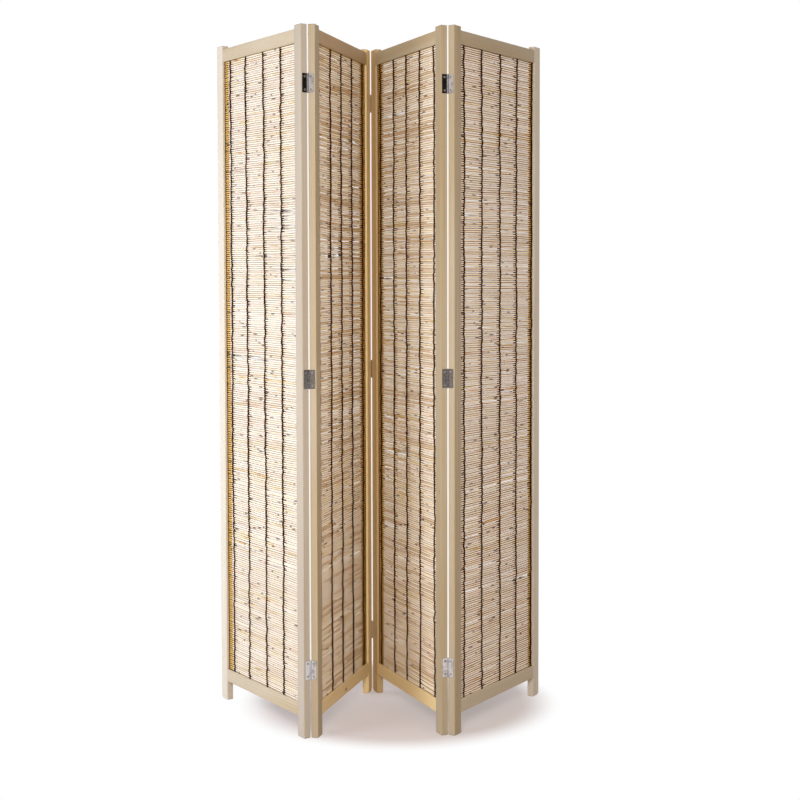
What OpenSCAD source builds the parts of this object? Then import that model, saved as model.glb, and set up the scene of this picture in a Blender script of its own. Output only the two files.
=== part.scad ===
// Folding screen of four framed reed panels, standing in a zigzag.
// Millimetres, +Z up. It stands on Z = 0 with its front to -Y, and the origin is under the middle of its box.
// A panel's own frame: X across it from its left edge, Y from its front face to its back face, Z up.

/* [Panels] */
// Height of a panel, which is the length of its stiles
panel_h = 1800; // [1500:10:2200]
// Width of a panel over its two stiles
panel_w = 450; // [360:5:600]

/* [Folds] */
// Heading of the second panel, counted from the X axis
heading_2 = 73.4; // [0:0.1:90]
// Angle between the backs of the first and second panels
left_fold = 51.0; // [10:0.1:180]
// Angle between the fronts of the second and third panels
middle_fold = 40.5; // [10:0.1:180]
// Angle between the backs of the third and fourth panels
right_fold = 57.6; // [10:0.1:180]

/* [Frame] */
// Width of a stile across the panel
stile_w = 32; // [28:1:45]
// Thickness of the stiles and rails
frame_t = 18; // [16:0.5:24]
// Height of a rail
rail_h = 34; // [30:1:60]
// How far the stiles stand above the top rail
horn_h = 10; // [4:1:30]
// How far the stiles stand below the bottom rail
leg_h = 53; // [30:1:120]
// Chamfer along the edges of the stiles and rails
edge_ease = 0.8; // [0.4:0.1:1.5]
// Chamfer round the sawn ends of the stiles
end_ease = 1.5; // [0.5:0.1:3]
// Chamfer on the outer corner of a foot that stands at the back
back_foot_ease = 7; // [2:0.5:12]

/* [Dowels] */
// Diameter of the dowels in the corner joints
dowel_d = 6; // [5:0.5:6]
// Length of a dowel
dowel_l = 30; // [20:1:40]

/* [Reed mat] */
// Diameter of a reed
reed_d = 5.2; // [4:0.1:7]
// Gap between one reed and the next
reed_gap = 0.4; // [0.3:0.1:1]
// Depth of the groove in the frame that holds the edges of the mat
groove_d = 8; // [6:0.5:10]
// Each mat's twine columns, in percent of the opening from its left stile: the mats are cut from a roll
twine_at = [[9, 31.5, 56, 79.5], [2, 25, 47, 69.5, 93.5], [5.5, 29, 50.5, 72.5, 95], [6, 29, 53.5, 76.5, 98]];
// Width of a twine column
twine_w = 4.5; // [2:0.1:5]
// Thickness of the twine on each side of the reeds
twine_t = 1.5; // [0.8:0.1:1.5]

/* [Hinges] */
// Height of a hinge
hinge_h = 48; // [40:1:70]
// How far a leaf reaches over the edge of its stile
leaf_reach = 14.5; // [12:0.5:15]
// Thickness of a leaf
leaf_t = 1; // [0.8:0.1:1.2]
// Diameter of the barrel
barrel_d = 3.8; // [3.6:0.1:5]
// Gap between the two leaves of a hinge when the screen stands flat
leaf_gap = 1.2; // [1:0.1:2]
// Diameter of the hinge pin
pin_d = 2; // [1.6:0.1:2.2]
// Length of the middle knuckle
middle_knuckle = 21; // [14:1:24]
// Middle of the top hinge, below the top of the panel
top_hinge_drop = 146; // [100:1:250]
// Middle of the bottom hinge, above the floor
bottom_hinge_z = 175; // [120:1:300]

/* [Screws] */
// Diameter of a screw's shank
screw_d = 2.8; // [2.4:0.1:3.2]
// Diameter of a screw's head
screw_head_d = 5.8; // [5:0.1:6.4]
// Length of a screw under its head
screw_l = 16; // [12:1:22]
// Middle of a screw, from the end of its leaf
screw_inset = 7.5; // [6:0.5:10]

/* [Hidden] */
$fn = 32;
// Clearances: round a dowel or screw, pin to knuckle, barrel to stile, knuckle to knuckle, and mat to groove
hole_play = 0.05;
pin_play = 0.05;
barrel_play = 0.3;
knuckle_gap = 0.3;
mat_play = 0.3;
cut = 1;
wood = [0.90, 0.80, 0.64];
dowel_wood = [0.80, 0.66, 0.46];
reed_straw = [0.85, 0.76, 0.58];
twine_brown = [0.26, 0.17, 0.10];
plated_steel = [0.70, 0.69, 0.66];

panels = [1, 2, 3, 4];
folds = ["left", "middle", "right"];
levels = ["top", "middle", "bottom"];
edges = ["left", "right"];

opening_w = panel_w - 2 * stile_w;
bottom_rail_z = leg_h;
opening_z = leg_h + rail_h;
top_rail_z = panel_h - horn_h - rail_h;
opening_h = top_rail_z - opening_z;

// The mat lies in the middle of the frame's thickness, and its ends lie in the grooves.
mat_y = frame_t / 2;
stile_groove_w = reed_d + 2 * mat_play;
rail_groove_w = reed_d + 2 * (twine_t + mat_play);
reed_pitch = reed_d + reed_gap;
reed_l = opening_w + 2 * (groove_d - mat_play);
mat_room = opening_h + 2 * (groove_d - twine_t - mat_play);
reed_count = floor((mat_room + reed_gap) / reed_pitch);
mat_h = reed_count * reed_pitch - reed_gap;
mat_z = opening_z + (opening_h - mat_h) / 2;

// Two dowels share the solid part of a rail's end, clear of its groove.
dowel_space = (rail_h - groove_d - 2 * dowel_d) / 3;
dowel_low = groove_d + dowel_space + dowel_d / 2;
dowel_high = rail_h - dowel_space - dowel_d / 2;
dowel_heights = [bottom_rail_z + rail_h - dowel_high, bottom_rail_z + rail_h - dowel_low,
                 top_rail_z + dowel_low, top_rail_z + dowel_high];

barrel_r = barrel_d / 2;
// The pin's axis stands this far beside the edge of a panel and outside its face, where the barrel just
// clears the chamfer along the stile's corner.
barrel_clear = barrel_r + barrel_play;
axis_beside = leaf_t + leaf_gap / 2;
axis_out = max(0.3, barrel_clear * sqrt(2) - axis_beside - edge_ease,
               sqrt(max(0, barrel_clear * barrel_clear - axis_beside * axis_beside)) - edge_ease);
knuckle_clear = barrel_r + knuckle_gap;
hinge_heights = [panel_h - top_hinge_drop, (panel_h - top_hinge_drop + bottom_hinge_z) / 2, bottom_hinge_z];
screw_y = -axis_out - leaf_reach / 2;
screw_heights = [-1, 1] * (hinge_h / 2 - screw_inset);
screw_head_proud = 0.3;
screw_tip = 3;
recess_l = 3.4;
recess_w = 0.7;
recess_d = 0.6;
pin_head_d = pin_d + 1;
pin_head_t = 0.8;

// The panels' headings, and where their own frames stand once the screen is centred on the origin
headings = [heading_2 - 180 + left_fold,
            heading_2,
            heading_2 - 180 + middle_fold,
            heading_2 + middle_fold - right_fold];
function turn(v, a) = [v.x * cos(a) - v.y * sin(a), v.x * sin(a) + v.y * cos(a)];
back_y = frame_t + axis_out;
front_y = -axis_out;
right_x = panel_w + axis_beside;
left_x = -axis_beside;
corner_2 = -turn([right_x, front_y], headings[1]);
corner_3 = -turn([left_x, front_y], headings[2]);
corner_1 = corner_2 + turn([left_x, back_y], headings[1]) - turn([right_x, back_y], headings[0]);
corner_4 = corner_3 + turn([right_x, back_y], headings[2]) - turn([left_x, back_y], headings[3]);
corners = [corner_1, corner_2, corner_3, corner_4];
outline = [for (p = [0:3], x = [0, panel_w], y = [0, frame_t], e = [[edge_ease, 0], [0, edge_ease]])
           corners[p] + turn([x + (x > 0 ? -e.x : e.x), y + (y > 0 ? -e.y : e.y)], headings[p])];
middle = [for (k = [0, 1]) (min([for (q = outline) q[k]]) + max([for (q = outline) q[k]])) / 2];

// Puts its children, drawn in a panel's own frame, where that panel stands.
module on_panel(p) {
    translate([corners[p - 1].x - middle.x, corners[p - 1].y - middle.y, 0])
        rotate([0, 0, headings[p - 1]]) children();
}

// Rectangle with chamfered corners
module eased(w, h, ease) {
    polygon([[ease, 0], [w - ease, 0], [w, ease], [w, h - ease],
             [w - ease, h], [ease, h], [0, h - ease], [0, ease]]);
}

// Fold between a panel's edge and its neighbour: 0 left, 1 middle, 2 right, or undef on a free edge
function fold_at(p, edge) = edge == "right" ? (p < 4 ? p - 1 : undef) : (p > 1 ? p - 2 : undef);
// The outer folds have their barrels at the back, and the middle one at the front.
function barrel_at_back(f) = f != 1;
// The free edges and the middle fold stand at the back of the zigzag.
function foot_ease(p, edge) = fold_at(p, edge) == undef || fold_at(p, edge) == 1 ? back_foot_ease : end_ease;

// Puts its children, drawn round a pin's axis for a leaf of the panel on its left, on an edge of a panel.
module on_edge(f, edge) {
    translate([edge == "right" ? right_x : left_x, barrel_at_back(f) ? back_y : front_y, 0])
        mirror([edge == "right" ? 0 : 1, 0, 0])
            mirror([0, barrel_at_back(f) ? 0 : 1, 0]) children();
}

// Puts its children on the left edge as they are drawn, or mirrored on the right edge.
module on_side(edge) {
    translate([edge == "left" ? 0 : panel_w, 0, 0]) mirror([edge == "left" ? 0 : 1, 0, 0]) children();
}

module dowel_holes() {
    for (z = dowel_heights)
        translate([stile_w - dowel_l / 2 - cut / 2, mat_y, z]) rotate([0, 90, 0])
            cylinder(r = dowel_d / 2 + hole_play, h = dowel_l + cut);
}

// Holes in a stile's edge for the six screws of its three hinges
module pilot_holes(p, edge) {
    f = fold_at(p, edge);
    if (f != undef)
        on_edge(f, edge)
            for (z = hinge_heights, s = screw_heights)
                translate([-axis_beside + cut, screw_y, z + s]) rotate([0, -90, 0])
                    cylinder(r = screw_d / 2 + hole_play, h = screw_l + cut + hole_play);
}

// Upright of the frame, grooved for the mat, with its outer foot corner cut away at the back of the zigzag
module stile(p, edge) {
    foot = foot_ease(p, edge);
    color(wood) on_panel(p) difference() {
        on_side(edge) difference() {
            intersection() {
                linear_extrude(panel_h) eased(stile_w, frame_t, edge_ease);
                translate([0, frame_t, 0]) rotate([90, 0, 0]) linear_extrude(frame_t)
                    polygon([[foot, 0], [stile_w - end_ease, 0], [stile_w, end_ease],
                             [stile_w, panel_h - end_ease], [stile_w - end_ease, panel_h],
                             [end_ease, panel_h], [0, panel_h - end_ease], [0, foot]]);
                rotate([90, 0, 90]) linear_extrude(stile_w) eased(frame_t, panel_h, end_ease);
            }
            translate([stile_w - groove_d, mat_y - stile_groove_w / 2, opening_z - groove_d])
                cube([groove_d + cut, stile_groove_w, opening_h + 2 * groove_d]);
            dowel_holes();
        }
        pilot_holes(p, edge);
    }
}

// Cross piece of the frame, drawn with its groove along its top edge
module rail_blank() {
    difference() {
        translate([stile_w, 0, 0]) rotate([90, 0, 90]) linear_extrude(opening_w) eased(frame_t, rail_h, edge_ease);
        translate([stile_w - cut, mat_y - rail_groove_w / 2, rail_h - groove_d])
            cube([opening_w + 2 * cut, rail_groove_w, groove_d + cut]);
        translate([0, 0, -bottom_rail_z]) for (edge = edges) on_side(edge) dowel_holes();
    }
}
module bottom_rail(p) {
    color(wood) on_panel(p) translate([0, 0, bottom_rail_z]) rail_blank();
}
module top_rail(p) {
    color(wood) on_panel(p) translate([0, 0, top_rail_z + rail_h]) mirror([0, 0, 1]) rail_blank();
}

// Eight dowels, two in each corner joint
module dowels(p) {
    color(dowel_wood) on_panel(p)
        for (edge = edges) on_side(edge)
            for (z = dowel_heights)
                translate([stile_w - dowel_l / 2, mat_y, z]) rotate([0, 90, 0]) cylinder(d = dowel_d, h = dowel_l);
}

// The reeds, one above another, with their ends in the stiles' grooves
module reeds(p) {
    color(reed_straw) on_panel(p)
        for (k = [0 : reed_count - 1])
            translate([(panel_w - reed_l) / 2, mat_y, mat_z + reed_d / 2 + k * reed_pitch])
                rotate([0, 90, 0]) cylinder(d = reed_d, h = reed_l);
}

// A column of twine, drawn as one closed loop round all the reeds
module twine(p) {
    inner_t = reed_d + 2 * hole_play;
    inner_h = mat_h + 2 * hole_play;
    color(twine_brown) on_panel(p)
        for (share = twine_at[p - 1])
            translate([stile_w + opening_w * share / 100, mat_y, mat_z + mat_h / 2])
                difference() {
                    cube([twine_w, inner_t + 2 * twine_t, inner_h + 2 * twine_t], center = true);
                    cube([twine_w + 2 * cut, inner_t, inner_h], center = true);
                }
}

// Knuckle of a hinge, from one height to another
module knuckle(z0, z1) {
    translate([0, 0, z0]) difference() {
        cylinder(r = barrel_r, h = z1 - z0);
        translate([0, 0, -cut]) cylinder(r = pin_d / 2 + pin_play, h = z1 - z0 + 2 * cut);
    }
}

// Leaf with its knuckles, drawn round the pin's axis: the left leaf has the two outer knuckles
module leaf(outer) {
    half = hinge_h / 2;
    split = middle_knuckle / 2;
    own = outer ? [[-half, -split - knuckle_gap], [split + knuckle_gap, half]] : [[-split, split]];
    other = outer ? [[-split - knuckle_gap, split + knuckle_gap]] : [[-half - cut, -split], [split, half + cut]];
    difference() {
        translate([-axis_beside, -axis_out - leaf_reach, -half]) cube([leaf_t, axis_out + leaf_reach, hinge_h]);
        for (z = other)
            translate([-axis_beside - cut, -knuckle_clear, z[0]])
                cube([leaf_t + 2 * cut, knuckle_clear + cut, z[1] - z[0]]);
        cylinder(r = pin_d / 2 + pin_play, h = hinge_h + cut, center = true);
        for (z = screw_heights)
            translate([-axis_beside, screw_y, z]) rotate([0, 90, 0])
                cylinder(r1 = screw_d / 2 + 2 * hole_play, r2 = screw_head_d / 2 + 2 * hole_play, h = leaf_t);
    }
    for (z = own) knuckle(z[0], z[1]);
}
module hinge_leaf(f, level, edge) {
    p = edge == "right" ? f + 1 : f + 2;
    color(plated_steel) on_panel(p) on_edge(f, edge)
        translate([0, 0, hinge_heights[level]]) leaf(edge == "right");
}

// Pin with a peened head at each end, which rides on the panel at the left of the fold
module hinge_pin(f, level) {
    half = hinge_h / 2 + hole_play;
    end = half + pin_head_t;
    r = pin_d / 2;
    head_r = pin_head_d / 2;
    color(plated_steel) on_panel(f + 1) on_edge(f, "right")
        translate([0, 0, hinge_heights[level]]) rotate_extrude()
            polygon([[0, -end], [r, -end], [head_r, -end + pin_head_t / 2], [head_r, -half], [r, -half],
                     [r, half], [head_r, half], [head_r, end - pin_head_t / 2], [r, end], [0, end]]);
}

// Countersunk screw with a cross recess, its point towards -X
module screw() {
    difference() {
        union() {
            translate([-axis_beside - screw_l, 0, 0]) rotate([0, 90, 0])
                cylinder(r1 = 0.3, r2 = screw_d / 2, h = screw_tip);
            translate([-axis_beside - screw_l + screw_tip, 0, 0]) rotate([0, 90, 0])
                cylinder(r = screw_d / 2, h = screw_l - screw_tip);
            translate([-axis_beside, 0, 0]) rotate([0, 90, 0])
                cylinder(r1 = screw_d / 2, r2 = screw_head_d / 2, h = leaf_t);
            translate([-axis_beside + leaf_t, 0, 0]) rotate([0, 90, 0])
                cylinder(r1 = screw_head_d / 2, r2 = screw_head_d / 2 - screw_head_proud, h = screw_head_proud);
        }
        translate([-axis_beside + leaf_t + screw_head_proud, 0, 0]) {
            cube([2 * recess_d, recess_w, recess_l], center = true);
            cube([2 * recess_d, recess_l, recess_w], center = true);
        }
    }
}
module hinge_screws(p) {
    color(plated_steel) on_panel(p)
        for (edge = edges) if (fold_at(p, edge) != undef)
            on_edge(fold_at(p, edge), edge)
                for (z = hinge_heights, s = screw_heights) translate([0, screw_y, z + s]) screw();
}

for (p = panels) {
    stile(p, "left");
    stile(p, "right");
    top_rail(p);
    bottom_rail(p);
    dowels(p);
    reeds(p);
    twine(p);
    hinge_screws(p);
}
for (f = [0 : 2], l = [0 : 2]) {
    hinge_leaf(f, l, "right");
    hinge_leaf(f, l, "left");
    hinge_pin(f, l);
}
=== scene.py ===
import math

import bpy
from mathutils import Matrix, Vector


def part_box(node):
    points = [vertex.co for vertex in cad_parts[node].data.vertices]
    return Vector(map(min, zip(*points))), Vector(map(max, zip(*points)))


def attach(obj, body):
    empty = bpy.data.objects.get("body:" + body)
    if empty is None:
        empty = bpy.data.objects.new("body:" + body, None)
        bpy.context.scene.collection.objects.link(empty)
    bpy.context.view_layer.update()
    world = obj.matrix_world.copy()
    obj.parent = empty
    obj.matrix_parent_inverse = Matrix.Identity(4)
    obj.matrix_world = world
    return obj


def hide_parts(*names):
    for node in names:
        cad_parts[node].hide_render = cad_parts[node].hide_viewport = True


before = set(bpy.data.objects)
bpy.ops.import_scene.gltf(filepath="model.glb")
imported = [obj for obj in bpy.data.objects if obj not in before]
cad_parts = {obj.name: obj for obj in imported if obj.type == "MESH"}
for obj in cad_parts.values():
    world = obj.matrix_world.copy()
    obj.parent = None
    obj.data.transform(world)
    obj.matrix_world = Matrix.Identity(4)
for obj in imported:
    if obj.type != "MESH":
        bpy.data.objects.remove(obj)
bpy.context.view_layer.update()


# The screen is four equal panels, counted from the left. Each has a space of its own, with X across the
# panel, Y from its front to its back and Z up, whose origin is on the floor under the panel's middle.
def middle_of(node):
    low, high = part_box(node)
    return (low + high) / 2


class Panel:
    def __init__(self, number):
        self.name = f"panel_{number}"
        left = middle_of(f"{self.name}_left_stile")
        right = middle_of(f"{self.name}_right_stile")
        across = right - left
        self.heading = math.atan2(across.y, across.x)
        foot = Matrix.Translation(((left.x + right.x) / 2, (left.y + right.y) / 2, 0))
        self.place = foot @ Matrix.Rotation(self.heading, 4, "Z")

    def points(self, piece):
        """The corners of one of the panel's CAD nodes, in the panel's own space."""
        away = self.place.inverted()
        return [away @ v.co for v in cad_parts[f"{self.name}_{piece}"].data.vertices]

    def span(self, piece):
        """Lowest and highest corner of the box round one of the panel's CAD nodes."""
        points = self.points(piece)
        return (Vector(min(p[k] for p in points) for k in range(3)),
                Vector(max(p[k] for p in points) for k in range(3)))


panels = [Panel(number) for number in (1, 2, 3, 4)]


# The frames are pine, planed and left bare: two uprights and two rails to each panel, doweled together.
# The wood is pale and quiet, with faint growth rings along each board, fine pores and a pin knot or two.
# Each board has a tone of its own, partly from its tree and partly painted light and shade for where it
# stands in the light.
class Wire:
    """A node's output that can stand in a sum: each sign adds a Math node to the same sheet."""

    def __init__(self, sheet, socket):
        self.sheet, self.socket = sheet, socket

    def math(self, operation, *terms):
        return self.sheet.add("ShaderNodeMath", {"operation": operation}, dict(enumerate(terms)))

    def __add__(self, other):
        return self.math("ADD", self, other)

    def __radd__(self, other):
        return self.math("ADD", other, self)

    def __sub__(self, other):
        return self.math("SUBTRACT", self, other)

    def __rsub__(self, other):
        return self.math("SUBTRACT", other, self)

    def __mul__(self, other):
        return self.math("MULTIPLY", self, other)

    def __rmul__(self, other):
        return self.math("MULTIPLY", other, self)

    def __truediv__(self, other):
        return self.math("DIVIDE", self, other)

    def __pow__(self, other):
        return self.math("POWER", self, other)

    def of(self, operation, *others):
        return self.math(operation, self, *others)

    def other(self, output):
        """Another output of the same node."""
        return Wire(self.sheet, self.socket.node.outputs[output])


class Sheet:
    """The node sheet of a material or of a shape."""

    def __init__(self, tree):
        self.tree = tree
        self.tree.nodes.clear()

    def add(self, kind, settings=None, inputs=None, output=0):
        """Adds a node, sets it and its inputs, and returns one of its outputs."""
        node = self.tree.nodes.new(kind)
        for name, value in (settings or {}).items():
            if name == "stops":
                self.fill_ramp(node.color_ramp, value)
            else:
                setattr(node, name, value)
        for name, value in (inputs or {}).items():
            if isinstance(value, Wire):
                self.tree.links.new(value.socket, node.inputs[name])
            else:
                node.inputs[name].default_value = value
        return Wire(self, node.outputs[output]) if node.outputs else node

    def mix(self, amount, first, second):
        return self.add("ShaderNodeMix", {"data_type": "RGBA"}, {0: amount, 6: first, 7: second}, 2)

    def between(self, value, low, high):
        """0 on low's side, 1 on high's side, and smooth in between."""
        return self.add("ShaderNodeMapRange", {"interpolation_type": "SMOOTHSTEP"},
                        {0: value, 1: low, 2: high})

    @staticmethod
    def fill_ramp(ramp, stops):
        while len(ramp.elements) < len(stops):
            ramp.elements.new(1)
        for element, (position, colour) in zip(ramp.elements, stops):
            element.position = position
            element.color = colour


class Finish(Sheet):
    """A material, whose colours are written as they look under plain light."""

    def __init__(self, name):
        self.material = bpy.data.materials.new(name)
        self.material.use_nodes = True
        super().__init__(self.material.node_tree)

    def seat(self):
        return self.add("ShaderNodeTexCoord", output="Object")

    def stretch(self, place, scale):
        return self.add("ShaderNodeMapping", None, {"Vector": place, "Scale": scale})

    def noise(self, vector, scale, detail=2.0, roughness=0.5):
        return self.add("ShaderNodeTexNoise", None,
                        {"Vector": vector, "Scale": scale, "Detail": detail, "Roughness": roughness})

    def chance(self, first, second=0.0, third=0.0):
        """A random number from 0 to 1, the same wherever the three numbers are the same."""
        key = self.add("ShaderNodeCombineXYZ", None, {0: first, 1: second, 2: third})
        return self.add("ShaderNodeTexWhiteNoise", {"noise_dimensions": "3D"}, {0: key})

    def surface(self, settings, height, depth):
        """Ends the sheet in a plain shader, with relief from a height in units of a depth."""
        settings["Normal"] = self.add("ShaderNodeBump", None,
                                      {"Strength": 1.0, "Distance": depth, "Height": height})
        shader = self.add("ShaderNodeBsdfPrincipled", None, settings)
        self.add("ShaderNodeOutputMaterial", None, {"Surface": shader})
        return self.material


def linear(red, green, blue):
    """A colour as it looks on a screen, from 0 to 255, in the units that shaders use."""
    return (*(((c / 255 + 0.055) / 1.055) ** 2.4 if c > 10 else c / 3295 for c in (red, green, blue)), 1.0)


def paint(node, material):
    node.data.materials.clear()
    node.data.materials.append(material)


PINE_PALE = linear(183, 171, 149)
PINE_WARM = linear(174, 156, 125)
PINE_RING = linear(153, 129, 91)
PINE_KNOT = linear(108, 74, 45)
PINE_WHITISH = linear(227, 226, 222)
PINE_COOL = linear(160, 156, 156)
PINE_GREY = linear(132, 118, 100)
PINE_HONEY = linear(227, 200, 148)
PINE_AMBER = linear(205, 160, 86)
PINE_DARK = linear(160, 115, 58)
RING_SPACING, RING_WANDER = 0.0045, 0.03
GRAIN_STRETCH, FIBRE_STRETCH, KNOT_STRETCH = (1, 1, 0.05), (1, 1, 0.012), (1, 1, 0.5)
FIBRE_FINENESS, KNOT_FINENESS = 900.0, 5.5
KNOT_EDGE, KNOT_HEART = 0.03, 0.012
PINE_RELIEF = 0.00012
# How much of another tone each board has over the common one, and which. The tone is partly the board's
# own and partly painted light and shade for where the board stands in the light
BOARD_TONES_AND_LIGHT = {"panel_1 left_stile": (0.35, PINE_WHITISH), "panel_1 top_rail": (0.05, PINE_WHITISH),
               "panel_1 bottom_rail": (0.04, PINE_WHITISH), "panel_1 right_stile": (0.45, PINE_COOL),
               "panel_2 left_stile": (0.30, PINE_GREY), "panel_2 right_stile": (0.85, PINE_HONEY),
               "panel_2 top_rail": (0.45, PINE_DARK), "panel_2 bottom_rail": (0.80, PINE_HONEY),
               "panel_3 left_stile": (0.35, PINE_AMBER), "panel_3 bottom_rail": (0.80, PINE_HONEY),
               "panel_3 top_rail": (0.0, PINE_PALE), "panel_3 right_stile": (0.28, PINE_GREY),
               "panel_4 left_stile": (0.34, PINE_GREY), "panel_4 top_rail": (0.24, PINE_GREY),
               "panel_4 bottom_rail": (0.08, PINE_WHITISH), "panel_4 right_stile": (0.40, PINE_WHITISH)}


def pine(name, turn, shift, tone):
    """Pine whose grain runs along Z once Object coordinates have been turned and shifted."""
    wood = Finish(name)
    log = wood.add("ShaderNodeMapping", None, {"Vector": wood.seat(), "Location": shift, "Rotation": turn})
    along = wood.stretch(log, GRAIN_STRETCH)
    drift = wood.noise(along, 9.0)
    place = wood.add("ShaderNodeSeparateXYZ", None, {0: log})
    out = ((place ** 2.0 + place.other(1) ** 2.0) ** 0.5) + (drift - 0.5) * RING_WANDER
    ring = (out * (2 * math.pi / RING_SPACING)).of("SINE") * 0.5 + 0.5
    late = ring ** 3.0
    fibre = wood.noise(wood.stretch(log, FIBRE_STRETCH), FIBRE_FINENESS, 3.0, 0.6)
    patch = wood.noise(along, 26.0)
    cloud = wood.noise(log, 3.0)
    body = wood.mix(wood.between(patch, 0.35, 0.7), PINE_PALE, PINE_WARM)
    ringed = wood.mix(late * wood.between(cloud, 0.35, 0.65) * 0.45, body, PINE_RING)
    streaked = wood.mix(wood.between(fibre, 0.55, 0.75) * 0.35, ringed, PINE_RING)
    knots = wood.add("ShaderNodeTexVoronoi", {"feature": "F1"},
                     {"Vector": wood.stretch(log, KNOT_STRETCH), "Scale": KNOT_FINENESS})
    # Mixes in the board's tone: partly its own colour, partly painted light and shade
    amount, colour = tone
    toned = wood.mix(amount, streaked, colour)
    knotted = wood.mix(wood.between(knots, KNOT_EDGE, KNOT_HEART) * 0.8, toned, PINE_KNOT)
    return wood.surface({"Base Color": knotted, "Roughness": 0.55 + fibre * 0.2, "Specular IOR Level": 0.35},
                        fibre + late * 0.4, PINE_RELIEF)


for panel in panels:
    upright = (0, 0, -panel.heading)
    level = (Matrix.Rotation(-math.pi / 2, 3, "Y") @ Matrix.Rotation(-panel.heading, 3, "Z")).to_euler()
    for number, (piece, turn) in enumerate((("left_stile", upright), ("right_stile", upright),
                                            ("top_rail", level), ("bottom_rail", level))):
        # Where in the log the board was sawn
        shift = (0.11 + 0.05 * number, 0.09 + panel.heading * 0.03, 0.7 * number + panel.heading)
        paint(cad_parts[f"{panel.name}_{piece}"],
              pine(f"pine {panel.name} {piece}", turn, shift, BOARD_TONES_AND_LIGHT[f"{panel.name} {piece}"]))


# Each corner is held by two fluted beech dowels, glued into the end of the rail and the edge of the stile.
# They are hidden once the frame is together.
BEECH_RELIEF = 0.0001

beech = Finish("beech")
pores = beech.noise(beech.seat(), 700.0, 3.0)
beech_wood = beech.surface({"Base Color": beech.mix(pores, linear(206, 170, 124), linear(176, 136, 92)),
                            "Roughness": 0.6}, pores, BEECH_RELIEF)
for panel in panels:
    paint(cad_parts[f"{panel.name}_dowels"], beech_wood)


# A mat fills each frame: some three hundred dry reeds, thinner than a pencil, laid one above another with
# their ends in the stiles' grooves. They taper, bend a little and lie at slightly uneven gaps.
REED_PITCH = 0.0056
REED_SIDES, REED_STEPS = 8, 7
REED_SWAY, REED_BULGE = 0.0010, 0.0008
UNEVEN_HEIGHT, UNEVEN_DEPTH = 0.0008, 0.0014
MAT_WARP = 0.0045
# A reed's thickness as a share of the CAD's, and what it loses in the bands where the mat lies more open
USUAL_THICKNESS, MOST_THICKNESS = 1.04, 1.05
OPEN_SHARE, OPEN_LOSS = -0.22, 0.24
THIN_LOSS, TAPER = 0.12, 0.14


def shape_sheet(name, inputs):
    """A geometry tree with named inputs, and the wires that carry them."""
    tree = bpy.data.node_groups.new(name, "GeometryNodeTree")
    sheet = Sheet(tree)
    tree.interface.new_socket("Geometry", in_out="INPUT", socket_type="NodeSocketGeometry")
    for title, kind in inputs.items():
        tree.interface.new_socket(title, in_out="INPUT", socket_type=kind)
    tree.interface.new_socket("Geometry", in_out="OUTPUT", socket_type="NodeSocketGeometry")
    entry = sheet.tree.nodes.new("NodeGroupInput")
    return sheet, {title: Wire(sheet, entry.outputs[title]) for title in ("Geometry", *inputs)}


def grow(name, sheet, values, place, seeds=()):
    """Runs a geometry tree on some points with its inputs set, and returns the result as a plain object."""
    mesh = bpy.data.meshes.new(name)
    mesh.from_pydata(seeds, [], [])
    holder = bpy.data.objects.new(name, mesh)
    bpy.context.scene.collection.objects.link(holder)
    modifier = holder.modifiers.new(name, "NODES")
    modifier.node_group = sheet.tree
    for item in sheet.tree.interface.items_tree:
        if item.name in values:
            modifier[item.identifier] = values[item.name]
    mesh = bpy.data.meshes.new_from_object(holder.evaluated_get(bpy.context.evaluated_depsgraph_get()))
    bpy.data.objects.remove(holder)
    mesh.transform(place)
    piece = bpy.data.objects.new(name, mesh)
    bpy.context.scene.collection.objects.link(piece)
    return piece


def vector(sheet, x, y, z):
    return sheet.add("ShaderNodeCombineXYZ", None, {0: x, 1: y, 2: z})


def ripple(sheet, x, y, z, scale):
    """Smooth noise from about -1 to 1 at a point."""
    level = sheet.add("ShaderNodeTexNoise", None,
                      {"Vector": vector(sheet, x, y, z), "Scale": scale, "Detail": 1.0})
    return (level - 0.5) * 3.0


def warp(sheet, given, x, z):
    """How far a mat is drawn up or down at a place, the same for its reeds and twine, and 0 at the rails."""
    share = (z - given["First"]) / (given["Pitch"] * given["Count"]) * 2.0 - 1.0
    return ripple(sheet, x * 0.7, z * 0.9, given["Seed"], 4.0) * (1.0 - share ** 6.0) * MAT_WARP


def store(sheet, geometry, name, value):
    return sheet.add("GeometryNodeStoreNamedAttribute", {"data_type": "FLOAT", "domain": "POINT"},
                     {"Geometry": geometry, "Name": name, "Value": value})


reed, given = shape_sheet("reed mat", {"Count": "NodeSocketInt", "Pitch": "NodeSocketFloat",
                                       "Length": "NodeSocketFloat", "Diameter": "NodeSocketFloat",
                                       "First": "NodeSocketFloat", "Seed": "NodeSocketInt",
                                       "Material": "NodeSocketMaterial"})
stack = reed.add("GeometryNodeMeshLine", {"mode": "OFFSET"},
                 {"Count": given["Count"], "Start Location": vector(reed, 0, 0, given["First"]),
                  "Offset": vector(reed, 0, 0, given["Pitch"])})
stick = reed.add("GeometryNodeCurvePrimitiveLine", None,
                 {"Start": vector(reed, given["Length"] * -0.5, 0, 0),
                  "End": vector(reed, given["Length"] * 0.5, 0, 0)})
stick = reed.add("GeometryNodeResampleCurve", None, {"Curve": stick, "Count": REED_STEPS})
mat = reed.add("GeometryNodeInstanceOnPoints", None, {"Points": stack, "Instance": stick})
mat = reed.add("GeometryNodeRealizeInstances", None, {"Geometry": mat})
here = reed.add("ShaderNodeSeparateXYZ", None, {0: reed.add("GeometryNodeInputPosition")})
number = ((here.other(2) - given["First"]) / given["Pitch"]).of("ROUND")


def draw_lot(salt):
    """A random number from 0 to 1 for each reed, and another one for each salt."""
    return reed.add("FunctionNodeRandomValue", {"data_type": "FLOAT"},
                    {2: 0.0, 3: 1.0, "ID": number, "Seed": given["Seed"] + salt}, 1)


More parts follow.
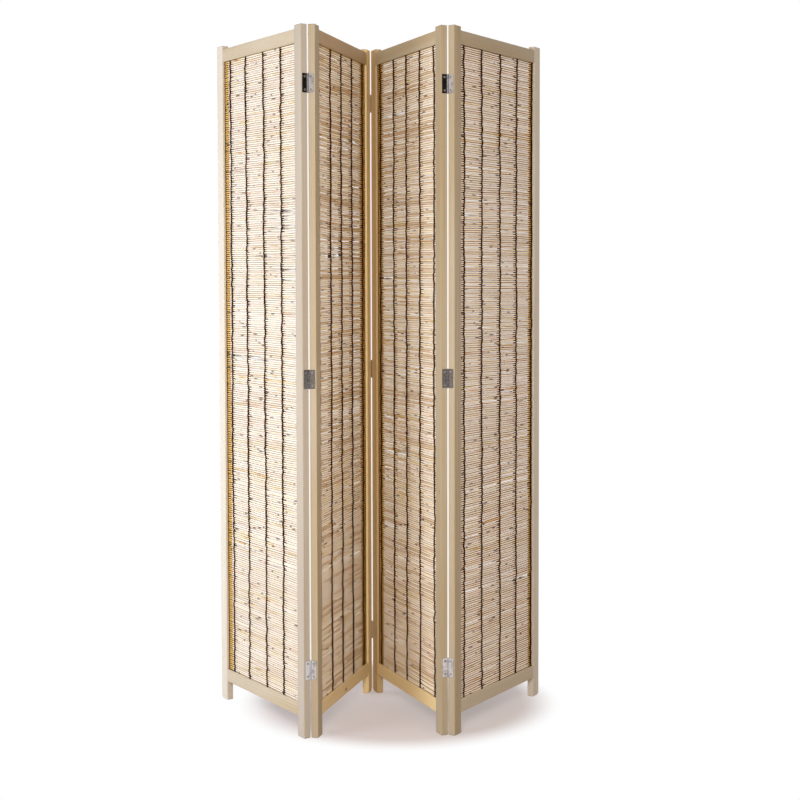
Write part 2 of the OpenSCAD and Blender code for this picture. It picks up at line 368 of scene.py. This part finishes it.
along = here / given["Length"]
sway = ripple(reed, here * 5.0, number * 3.7, given["Seed"], 1.0) * REED_SWAY
lean = (draw_lot(1) - 0.5) * along * (2 * REED_SWAY) + (draw_lot(7) - 0.5) * UNEVEN_HEIGHT
bulge = (ripple(reed, here * 3.0, here.other(2) * 2.0, given["Seed"] + 50.0, 1.0) * REED_BULGE
         + (draw_lot(6) - 0.5) * UNEVEN_DEPTH)
inner = 1.0 - (along * 2.0) ** 2.0
drop = warp(reed, given, here, here.other(2))
mat = store(reed, mat, "reed", number)
mat = store(reed, mat, "tone", draw_lot(2))
mat = store(reed, mat, "along", here + given["Length"] * 0.5)
mat = reed.add("GeometryNodeSetPosition", None,
               {"Geometry": mat, "Offset": vector(reed, 0, (bulge + sway * 0.5) * inner, drop + sway + lean)})
height = reed.add("ShaderNodeSeparateXYZ", None, {0: reed.add("GeometryNodeInputPosition")}, 2)
mat = store(reed, mat, "level", height)
band = ripple(reed, given["Seed"], 0.0, here.other(2), 7.0) * 0.7 + OPEN_SHARE
open_here = band.of("MAXIMUM", 0.0).of("MINIMUM", 1.0)
taper = along * (draw_lot(4).of("ROUND") - 0.5) * TAPER
share = USUAL_THICKNESS - open_here * OPEN_LOSS - draw_lot(3) ** 3.0 * THIN_LOSS + taper
mat = reed.add("GeometryNodeSetCurveRadius", None,
               {"Curve": mat, "Radius": given["Diameter"] * 0.5 * share.of("MINIMUM", MOST_THICKNESS)})
mat = reed.add("GeometryNodeSetCurveTilt", None, {"Curve": mat, "Tilt": draw_lot(5) * math.pi})
section = reed.add("GeometryNodeCurvePrimitiveCircle", None, {"Resolution": REED_SIDES, "Radius": 1.0})
radius = reed.add("GeometryNodeInputNamedAttribute", {"data_type": "FLOAT"}, {"Name": "radius"})
mat = reed.add("GeometryNodeCurveToMesh", None,
               {"Curve": mat, "Profile Curve": section, "Fill Caps": True, "Scale": radius})
level = reed.add("GeometryNodeInputNamedAttribute", {"data_type": "FLOAT"}, {"Name": "level"})
mat = store(reed, mat, "side", (height - level) / (given["Diameter"] * 0.5))
mat = reed.add("GeometryNodeSetShadeSmooth", None, {"Geometry": mat})
mat = reed.add("GeometryNodeSetMaterial", None, {"Geometry": mat, "Material": given["Material"]})
reed.add("NodeGroupOutput", None, {0: mat})

REED_TONES = [(0.0, linear(168, 112, 56)), (0.07, linear(218, 166, 96)), (0.15, linear(240, 214, 156)),
              (0.28, linear(250, 238, 208)), (0.60, linear(253, 244, 228)), (0.80, linear(252, 238, 220)),
              (0.93, linear(238, 208, 180)), (1.0, linear(224, 206, 150))]
REED_FIBRE = linear(176, 132, 74)
REED_DULL = linear(188, 140, 62)
REED_SPOT = linear(66, 38, 22)
# Painted shade: the brown and the near black that stand for shade in the crevices between reeds
REED_CREVICE_SHADE = linear(160, 100, 40)
REED_DEEP_SHADE = linear(70, 36, 12)
# Painted shade: the gold-brown of a mat's end where its stile shades it
REED_END_SHADE = linear(206, 160, 62)
REED_RELIEF = 0.00012
NODE_SPACING = 0.24
SCAR_HALF_LENGTH, SCAR_MORE, SCAR_HALF_HEIGHT = 0.0060, 0.009, 0.80
RING_EDGE, RING_CORE = 0.0012, 0.0004
# Painted shade: the narrow near-black strip next to a stile
SLIT_SHADE_EDGE, SLIT_SHADE_CORE = 0.006, 0.001
# How dark the painted shade in each mat's crevices is, how strong its duller reeds, how wide the painted
# gold-brown shade at its end, and how much of a tint it has. They differ between the panels partly as the
# mats' own colour and partly as painted light and shade for the light each panel stands in
MAT_CREVICE_SHADES = {"panel_1": 0.42, "panel_2": 0.46, "panel_3": 0.56, "panel_4": 0.95}
MAT_STREAKS = {"panel_1": 0.20, "panel_2": 0.60, "panel_3": 0.50, "panel_4": 0.20}
END_SHADE_BANDS = {"panel_1": 0.026, "panel_2": 0.042, "panel_3": 0.034, "panel_4": 0.020}
MAT_TINTS = {"panel_1": (0.30, linear(150, 150, 146)), "panel_4": (0.10, linear(190, 150, 140))}


def reed_skin(panel, length, groove, shaded_end_left):
    """Dry reed: tones along it, fine fibres, a bud scar at each node, painted brown and near-black shade
    towards the crevices between reeds, and painted gold-brown shade at one end of the mat, the left one or
    the right one, beside its stile."""
    skin = Finish(f"reed {panel.name}")
    lying = skin.add("ShaderNodeMapping", None, {"Vector": skin.seat(), "Rotation": (0, 0, -panel.heading)})
    reed_number, tone, run, side = (skin.add("ShaderNodeAttribute", {"attribute_name": name}, output="Fac")
                                    for name in ("reed", "tone", "along", "side"))
    step = run / NODE_SPACING + skin.chance(reed_number, 3.0)
    joint = step.of("FLOOR")
    off = (step - joint - 0.5) * NODE_SPACING
    stretch = (step + 0.5).of("FLOOR")
    cluster = skin.noise(lying, 9.0)
    place = skin.add("ShaderNodeCombineXYZ", None,
                     {0: run * 16.0, 1: reed_number * 0.8, 2: panel.heading * 10})
    patch = skin.noise(place, 1.0)
    pick = (tone * 0.32 + skin.chance(reed_number, stretch, 7.0) * 0.34 + (cluster - 0.5) * 0.4
            + (patch - 0.5) * 0.9 + 0.22)
    body = skin.add("ShaderNodeValToRGB", {"stops": REED_TONES}, {0: pick})
    fibre = skin.noise(skin.stretch(lying, (14, 1400, 1400)), 1.0, 3.0, 0.6)
    fibred = skin.mix(skin.between(fibre, 0.45, 0.75) * 0.25, body, REED_FIBRE)
    dull = skin.between(skin.chance(reed_number, stretch, 9.0) + (patch - 0.5) * 0.3, 0.66, 0.76)
    # Duller reeds and the tint below are set per panel, partly the mat's own colour, partly painted light and
    # shade
    toned = skin.mix(dull * MAT_STREAKS[panel.name], fibred, REED_DULL)
    if panel.name in MAT_TINTS:
        amount, tint = MAT_TINTS[panel.name]
        toned = skin.mix(amount, toned, tint)
    shade = MAT_CREVICE_SHADES[panel.name]
    # Painted shade at the mat's end beside its stile: gold-brown over a band, near black next to the stile
    from_end = (run if shaded_end_left else length - run) - groove
    end_shade = skin.between(from_end, END_SHADE_BANDS[panel.name], END_SHADE_BANDS[panel.name] * 0.8)
    slit_shade = skin.between(from_end, SLIT_SHADE_EDGE, SLIT_SHADE_CORE)
    # Painted shade: darker towards each reed's top and bottom, where it meets its neighbours
    up = side.of("ABSOLUTE")
    crevice_shade = skin.between(up, 0.48, 0.82)
    deep_shade = skin.between(up, 0.64, 0.94)
    crevice_shaded = skin.mix(crevice_shade * shade, skin.mix(end_shade * 0.9, toned, REED_END_SHADE), REED_CREVICE_SHADE)
    crevice_shaded = skin.mix((deep_shade * shade).of("MAXIMUM", crevice_shade * end_shade).of("MAXIMUM", slit_shade), crevice_shaded, REED_DEEP_SHADE)
    luck = skin.chance(reed_number, joint)
    half_length = SCAR_HALF_LENGTH + skin.between(luck, 0.6, 1.0) * SCAR_MORE
    lean = (side - (skin.chance(reed_number, joint, 5.0) - 0.5) * 1.2) / SCAR_HALF_HEIGHT
    far = ((off / half_length) ** 2.0 + lean ** 2.0) ** 0.5
    scar = skin.between(far, 1.0, 0.6) * skin.between(luck, 0.50, 0.60) * 0.9
    ring = skin.between(off.of("ABSOLUTE"), RING_EDGE, RING_CORE)
    scarred = skin.mix(scar.of("MAXIMUM", ring * 0.3), crevice_shaded, REED_SPOT)
    return skin.surface({"Base Color": scarred, "Roughness": 0.40 + fibre * 0.25, "Specular IOR Level": 0.3},
                        fibre + ring * 1.5, REED_RELIEF)


def fill(name, sheet, panel, values, seeds=()):
    """A piece as high as a panel's mat, grown from a tree in the middle of the panel's thickness."""
    low, high = panel.span("reeds")
    thickness = high.y - low.y
    count = round((high.z - low.z - thickness) / REED_PITCH) + 1
    return grow(name, sheet, {"Count": count, "Pitch": REED_PITCH, "Diameter": thickness,
                              "First": low.z + thickness / 2, "Seed": 11 + panels.index(panel), **values},
                panel.place @ Matrix.Translation((0, (low.y + high.y) / 2, 0)), seeds)


for panel in panels:
    low, high = panel.span("reeds")
    length = high.x - low.x
    groove = length / 2 - panel.span("top_rail")[1].x
    # The painted end shade goes on each mat's far end: the left one on panels 1 and 3, the right on 2 and 4
    skin = reed_skin(panel, length, groove, panel.name in ("panel_1", "panel_3"))
    reeds = fill(f"{panel.name}_reed_mat", reed, panel, {"Length": length, "Material": skin})
    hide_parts(f"{panel.name}_reeds")
    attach(reeds, panel.name)


# Four or five columns of dark brown twine bind each mat. In each column two twines pass one before and one
# behind a reed, then cross in the gap above it, so that every reed shows one slanting stitch.
TWINE_RADIUS, TWINE_THINNEST = 0.0022, 0.4
TWINE_HALF_WIDTH = 0.0008
TWINE_STEPS, TWINE_SIDES = 6, 5
TWINE_WANDER = 0.0036
TWINE_RELIEF = 0.0003
SAME_EDGE = 0.001

twine, given = shape_sheet("twine", {"Count": "NodeSocketInt", "Pitch": "NodeSocketFloat",
                                     "Diameter": "NodeSocketFloat", "First": "NodeSocketFloat",
                                     "Reach": "NodeSocketFloat", "Seed": "NodeSocketInt",
                                     "Material": "NodeSocketMaterial"})
index = twine.add("GeometryNodeInputIndex")
across = twine.add("ShaderNodeSeparateXYZ", None, {0: twine.add("GeometryNodeInputPosition")})
strands = store(twine, given["Geometry"], "column", across)
strands = store(twine, strands, "strand", index - (index / 2.0).of("FLOOR") * 2.0)
height = given["Pitch"] * given["Count"]
bottom = given["First"] - given["Pitch"] * 0.5
strand = twine.add("GeometryNodeCurvePrimitiveLine", None,
                   {"Start": vector(twine, 0, 0, bottom), "End": vector(twine, 0, 0, bottom + height)})
strand = twine.add("GeometryNodeResampleCurve", None,
                   {"Curve": strand, "Count": given["Count"] * TWINE_STEPS + 1.0})
bound = twine.add("GeometryNodeInstanceOnPoints", None, {"Points": strands, "Instance": strand})
bound = twine.add("GeometryNodeRealizeInstances", None, {"Geometry": bound})
column, which = (twine.add("GeometryNodeInputNamedAttribute", {"data_type": "FLOAT"}, {"Name": name})
                 for name in ("column", "strand"))
rise = twine.add("ShaderNodeSeparateXYZ", None, {0: twine.add("GeometryNodeInputPosition")}, 2)
turn = ((rise - given["First"]) / given["Pitch"] + which) * math.pi
wander = (ripple(twine, column * 60.0, rise * 5.0, given["Seed"], 1.0) * TWINE_WANDER
          + ripple(twine, column * 60.0, rise * 34.0, given["Seed"] + 9.0, 1.0) * TWINE_WANDER
          + ripple(twine, column * 60.0, rise * 90.0, given["Seed"] + 19.0, 1.0) * (0.6 * TWINE_WANDER))
middle = (column + wander).of("MINIMUM", given["Reach"]).of("MAXIMUM", given["Reach"] * -1.0)
sideways = middle + turn.of("SINE") * TWINE_HALF_WIDTH
swing = turn.of("COSINE")
depth = swing.of("ABSOLUTE") ** 0.6 * swing.of("SIGN") * (given["Diameter"] * 0.5 + TWINE_RADIUS)
drawn = rise + warp(twine, given, sideways, rise)
bound = twine.add("GeometryNodeSetPosition", None,
                  {"Geometry": bound, "Position": vector(twine, sideways, depth * -1.0, drawn)})
plump = (swing.of("ABSOLUTE") * (1.0 - TWINE_THINNEST) + TWINE_THINNEST) * TWINE_RADIUS
bound = twine.add("GeometryNodeSetCurveRadius", None, {"Curve": bound, "Radius": plump})
section = twine.add("GeometryNodeCurvePrimitiveCircle", None, {"Resolution": TWINE_SIDES, "Radius": 1.0})
radius = twine.add("GeometryNodeInputNamedAttribute", {"data_type": "FLOAT"}, {"Name": "radius"})
bound = twine.add("GeometryNodeCurveToMesh", None,
                  {"Curve": bound, "Profile Curve": section, "Fill Caps": True, "Scale": radius})
bound = twine.add("GeometryNodeSetShadeSmooth", None, {"Geometry": bound})
bound = twine.add("GeometryNodeSetMaterial", None, {"Geometry": bound, "Material": given["Material"]})
twine.add("NodeGroupOutput", None, {0: bound})

cord = Finish("brown twine")
fluff = cord.noise(cord.seat(), 2600.0)
faded = cord.noise(cord.seat(), 60.0)
fluffy = cord.mix(cord.between(fluff, 0.4, 0.75), linear(38, 16, 7), linear(76, 38, 18))
cord_brown = cord.mix(cord.between(faded, 0.5, 0.8) * 0.25, fluffy, linear(92, 54, 28))
cord_finish = cord.surface({"Base Color": cord_brown, "Roughness": 0.95, "Specular IOR Level": 0.05},
                           fluff, TWINE_RELIEF)

for panel in panels:
    edges = []
    for x in sorted(p.x for p in panel.points("twine")):
        if not edges or x - edges[-1] > SAME_EDGE:
            edges.append(x)
    columns = [(left + right) / 2 for left, right in zip(edges[::2], edges[1::2])]
    reach = panel.span("top_rail")[1].x - TWINE_HALF_WIDTH - TWINE_RADIUS
    binding = fill(f"{panel.name}_twine_columns", twine, panel, {"Material": cord_finish, "Reach": reach},
                   [(x, 0, 0) for x in columns for strand in range(2)])
    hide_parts(f"{panel.name}_twine")
    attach(binding, panel.name)


# Small butt hinges of nickel-plated steel join the panels, three to a fold, and each leaf is held by two
# countersunk screws of duller zinc. The plate is bright, and dull where hands and drivers met it.
PLATE_RELIEF = 0.00004


def plate(name, bright, dull, gloss):
    metal = Finish(name)
    stain = metal.noise(metal.seat(), 90.0, 4.0, 0.6)
    grain = metal.noise(metal.stretch(metal.seat(), (1, 1, 12)), 1600.0)
    colour = metal.mix(metal.between(stain, 0.45, 0.75), bright, dull)
    roughness = gloss + stain * 0.12 + grain * 0.06
    return metal.surface({"Base Color": colour, "Metallic": 1.0, "Roughness": roughness},
                         grain + stain * 2.0, PLATE_RELIEF)


nickel = plate("nickel plate", linear(202, 196, 194), linear(158, 148, 146), 0.08)
zinc = plate("zinc screw", linear(190, 188, 186), linear(140, 138, 136), 0.45)
for name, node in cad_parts.items():
    if name.endswith(("_leaf", "_pin", "_screws")):
        paint(node, zinc if name.endswith("_screws") else nickel)


# The floor is a sheet of pale, matt paper on which the screen stands and throws its shadow. Away from the
# screen it runs out into the white of the room.
FLOOR_HALF = 6.0
FLOOR_TONE = (0.44, 0.38, 0.38, 1)
FLOOR_LIFT = 0.25
FADE_START, FADE_END = 0.33, 0.45
FADE_AT = (0.05, 0.12)
WHITE = (1, 1, 1, 1)

corners = [(x * FLOOR_HALF, y * FLOOR_HALF, 0) for x, y in ((-1, -1), (1, -1), (1, 1), (-1, 1))]
floor_mesh = bpy.data.meshes.new("floor")
floor_mesh.from_pydata(corners, [], [(0, 1, 2, 3)])
floor = bpy.data.objects.new("floor", floor_mesh)
bpy.context.scene.collection.objects.link(floor)
paper = Finish("floor")
spot = paper.add("ShaderNodeSeparateXYZ", None, {0: paper.seat()})
reach = ((spot - FADE_AT[0]) ** 2.0 + (spot.other(1) - FADE_AT[1]) ** 2.0) ** 0.5
rays = paper.add("ShaderNodeLightPath")
seen = rays.of("MAXIMUM", rays.other("Is Glossy Ray")).of("MAXIMUM", rays.other("Is Transmission Ray"))
matt = paper.add("ShaderNodeBsdfDiffuse", None, {"Color": FLOOR_TONE})
white = paper.add("ShaderNodeEmission", None, {"Color": WHITE, "Strength": 1.0})
lift = paper.add("ShaderNodeEmission", None, {"Color": WHITE, "Strength": FLOOR_LIFT})
lifted = paper.add("ShaderNodeAddShader", None, {0: matt, 1: lift})
near = paper.add("ShaderNodeMixShader", None, {0: seen, 1: matt, 2: lifted})
fade = seen * paper.between(reach, FADE_START, FADE_END)
edge = paper.add("ShaderNodeMixShader", None, {0: fade, 1: near, 2: white})
paper.add("ShaderNodeOutputMaterial", None, {"Surface": edge})
floor.data.materials.append(paper.material)


# The room is white to the eye and gives a soft, warm light. A mirror finds it nearly white, but dark high on
# the right and in a brown band at the horizon, and sees no lamps. Two soft lamps stand at the left, and one
# in front that reaches into the fold.
AMBIENT_TONE, AMBIENT_LEVEL = (1.0, 0.90, 0.83, 1), 0.65
BAND_TONE, BAND_DEPTH = (1, 0.72, 0.55, 1), 0.88
MIRROR_LEVEL, CORNER_DEPTH = 0.85, 0.84

world = bpy.data.worlds.new("studio")
world.use_nodes = True
bpy.context.scene.world = world
room = Sheet(world.node_tree)
rays = room.add("ShaderNodeLightPath")
seen = rays.of("MAXIMUM", rays.other("Is Transmission Ray"))
way = room.add("ShaderNodeSeparateXYZ", None, {0: room.add("ShaderNodeTexCoord", output="Generated")})
behind = room.between(way.other(1), -0.25, 0.1)
corner = room.between(way, 0.2, 0.5) * room.between(way.other(2), -0.12, 0.03)
horizon = room.between(way.other(2), -0.13, -0.09) * room.between(way.other(2), 0.04, 0.0)
mirror_level = (MIRROR_LEVEL - corner * CORNER_DEPTH) * (1.0 - horizon * BAND_DEPTH)
mirror_level = mirror_level.of("MAXIMUM", behind)
ambient = room.add("ShaderNodeBackground", None, {"Color": AMBIENT_TONE, "Strength": AMBIENT_LEVEL})
mirror_tone = room.mix(horizon, WHITE, BAND_TONE)
mirrored = room.add("ShaderNodeBackground", None, {"Color": mirror_tone, "Strength": mirror_level})
backdrop = room.add("ShaderNodeBackground", None, {"Color": WHITE, "Strength": 1.0})
sky = room.add("ShaderNodeMixShader", None, {0: rays.other("Is Glossy Ray"), 1: ambient, 2: mirrored})
sky = room.add("ShaderNodeMixShader", None, {0: seen, 1: sky, 2: backdrop})
room.add("ShaderNodeOutputWorld", None, {"Surface": sky})


def lamp(name, place, size, watts, colour):
    """A square lamp that is aimed at the middle of the screen and that camera and mirrors don't see."""
    light = bpy.data.lights.new(name, "AREA")
    light.shape = "SQUARE"
    light.size = size
    light.energy = watts
    light.color = colour
    holder = bpy.data.objects.new(name, light)
    holder.location = place
    holder.rotation_euler = (LAMP_AIM - Vector(place)).to_track_quat("-Z", "Y").to_euler()
    holder.visible_camera = holder.visible_glossy = False
    bpy.context.scene.collection.objects.link(holder)


LAMP_AIM = Vector((0, 0, 0.9))
lamp("left", (-2.25, -1.3, 0.9), 1.2, 34, (0.84, 0.91, 1.0))
lamp("far left", (-2.44, 0.89, 0.9), 1.2, 40, (0.70, 0.82, 1.0))
lamp("front", (-0.1, -2.4, 1.2), 0.8, 44, (1.0, 0.93, 0.80))


# The camera stands a little to the right of the screen's middle, at chest height and under four metres away,
# and looks slightly down.
CAMERA_PLACE = (0.0559, -3.8522, 1.1643)
CAMERA_DOWN, CAMERA_ROLL = 2.76, -0.13
CAMERA_SENSOR, CAMERA_LENS = 36, 65.28
CAMERA_SHIFT = -0.0630
CAMERA_REACH = 50

camera = bpy.data.objects.new("camera", bpy.data.cameras.new("camera"))
bpy.context.scene.collection.objects.link(camera)
camera.data.sensor_width = CAMERA_SENSOR
camera.data.lens = CAMERA_LENS
camera.data.shift_y = CAMERA_SHIFT
camera.data.clip_end = CAMERA_REACH
tilt = Matrix.Rotation(math.radians(90 - CAMERA_DOWN), 4, "X")
roll = Matrix.Rotation(math.radians(CAMERA_ROLL), 4, "Z")
camera.matrix_world = Matrix.Translation(CAMERA_PLACE) @ tilt @ roll
bpy.context.scene.camera = camera
bpy.context.scene.view_settings.view_transform = "Standard"
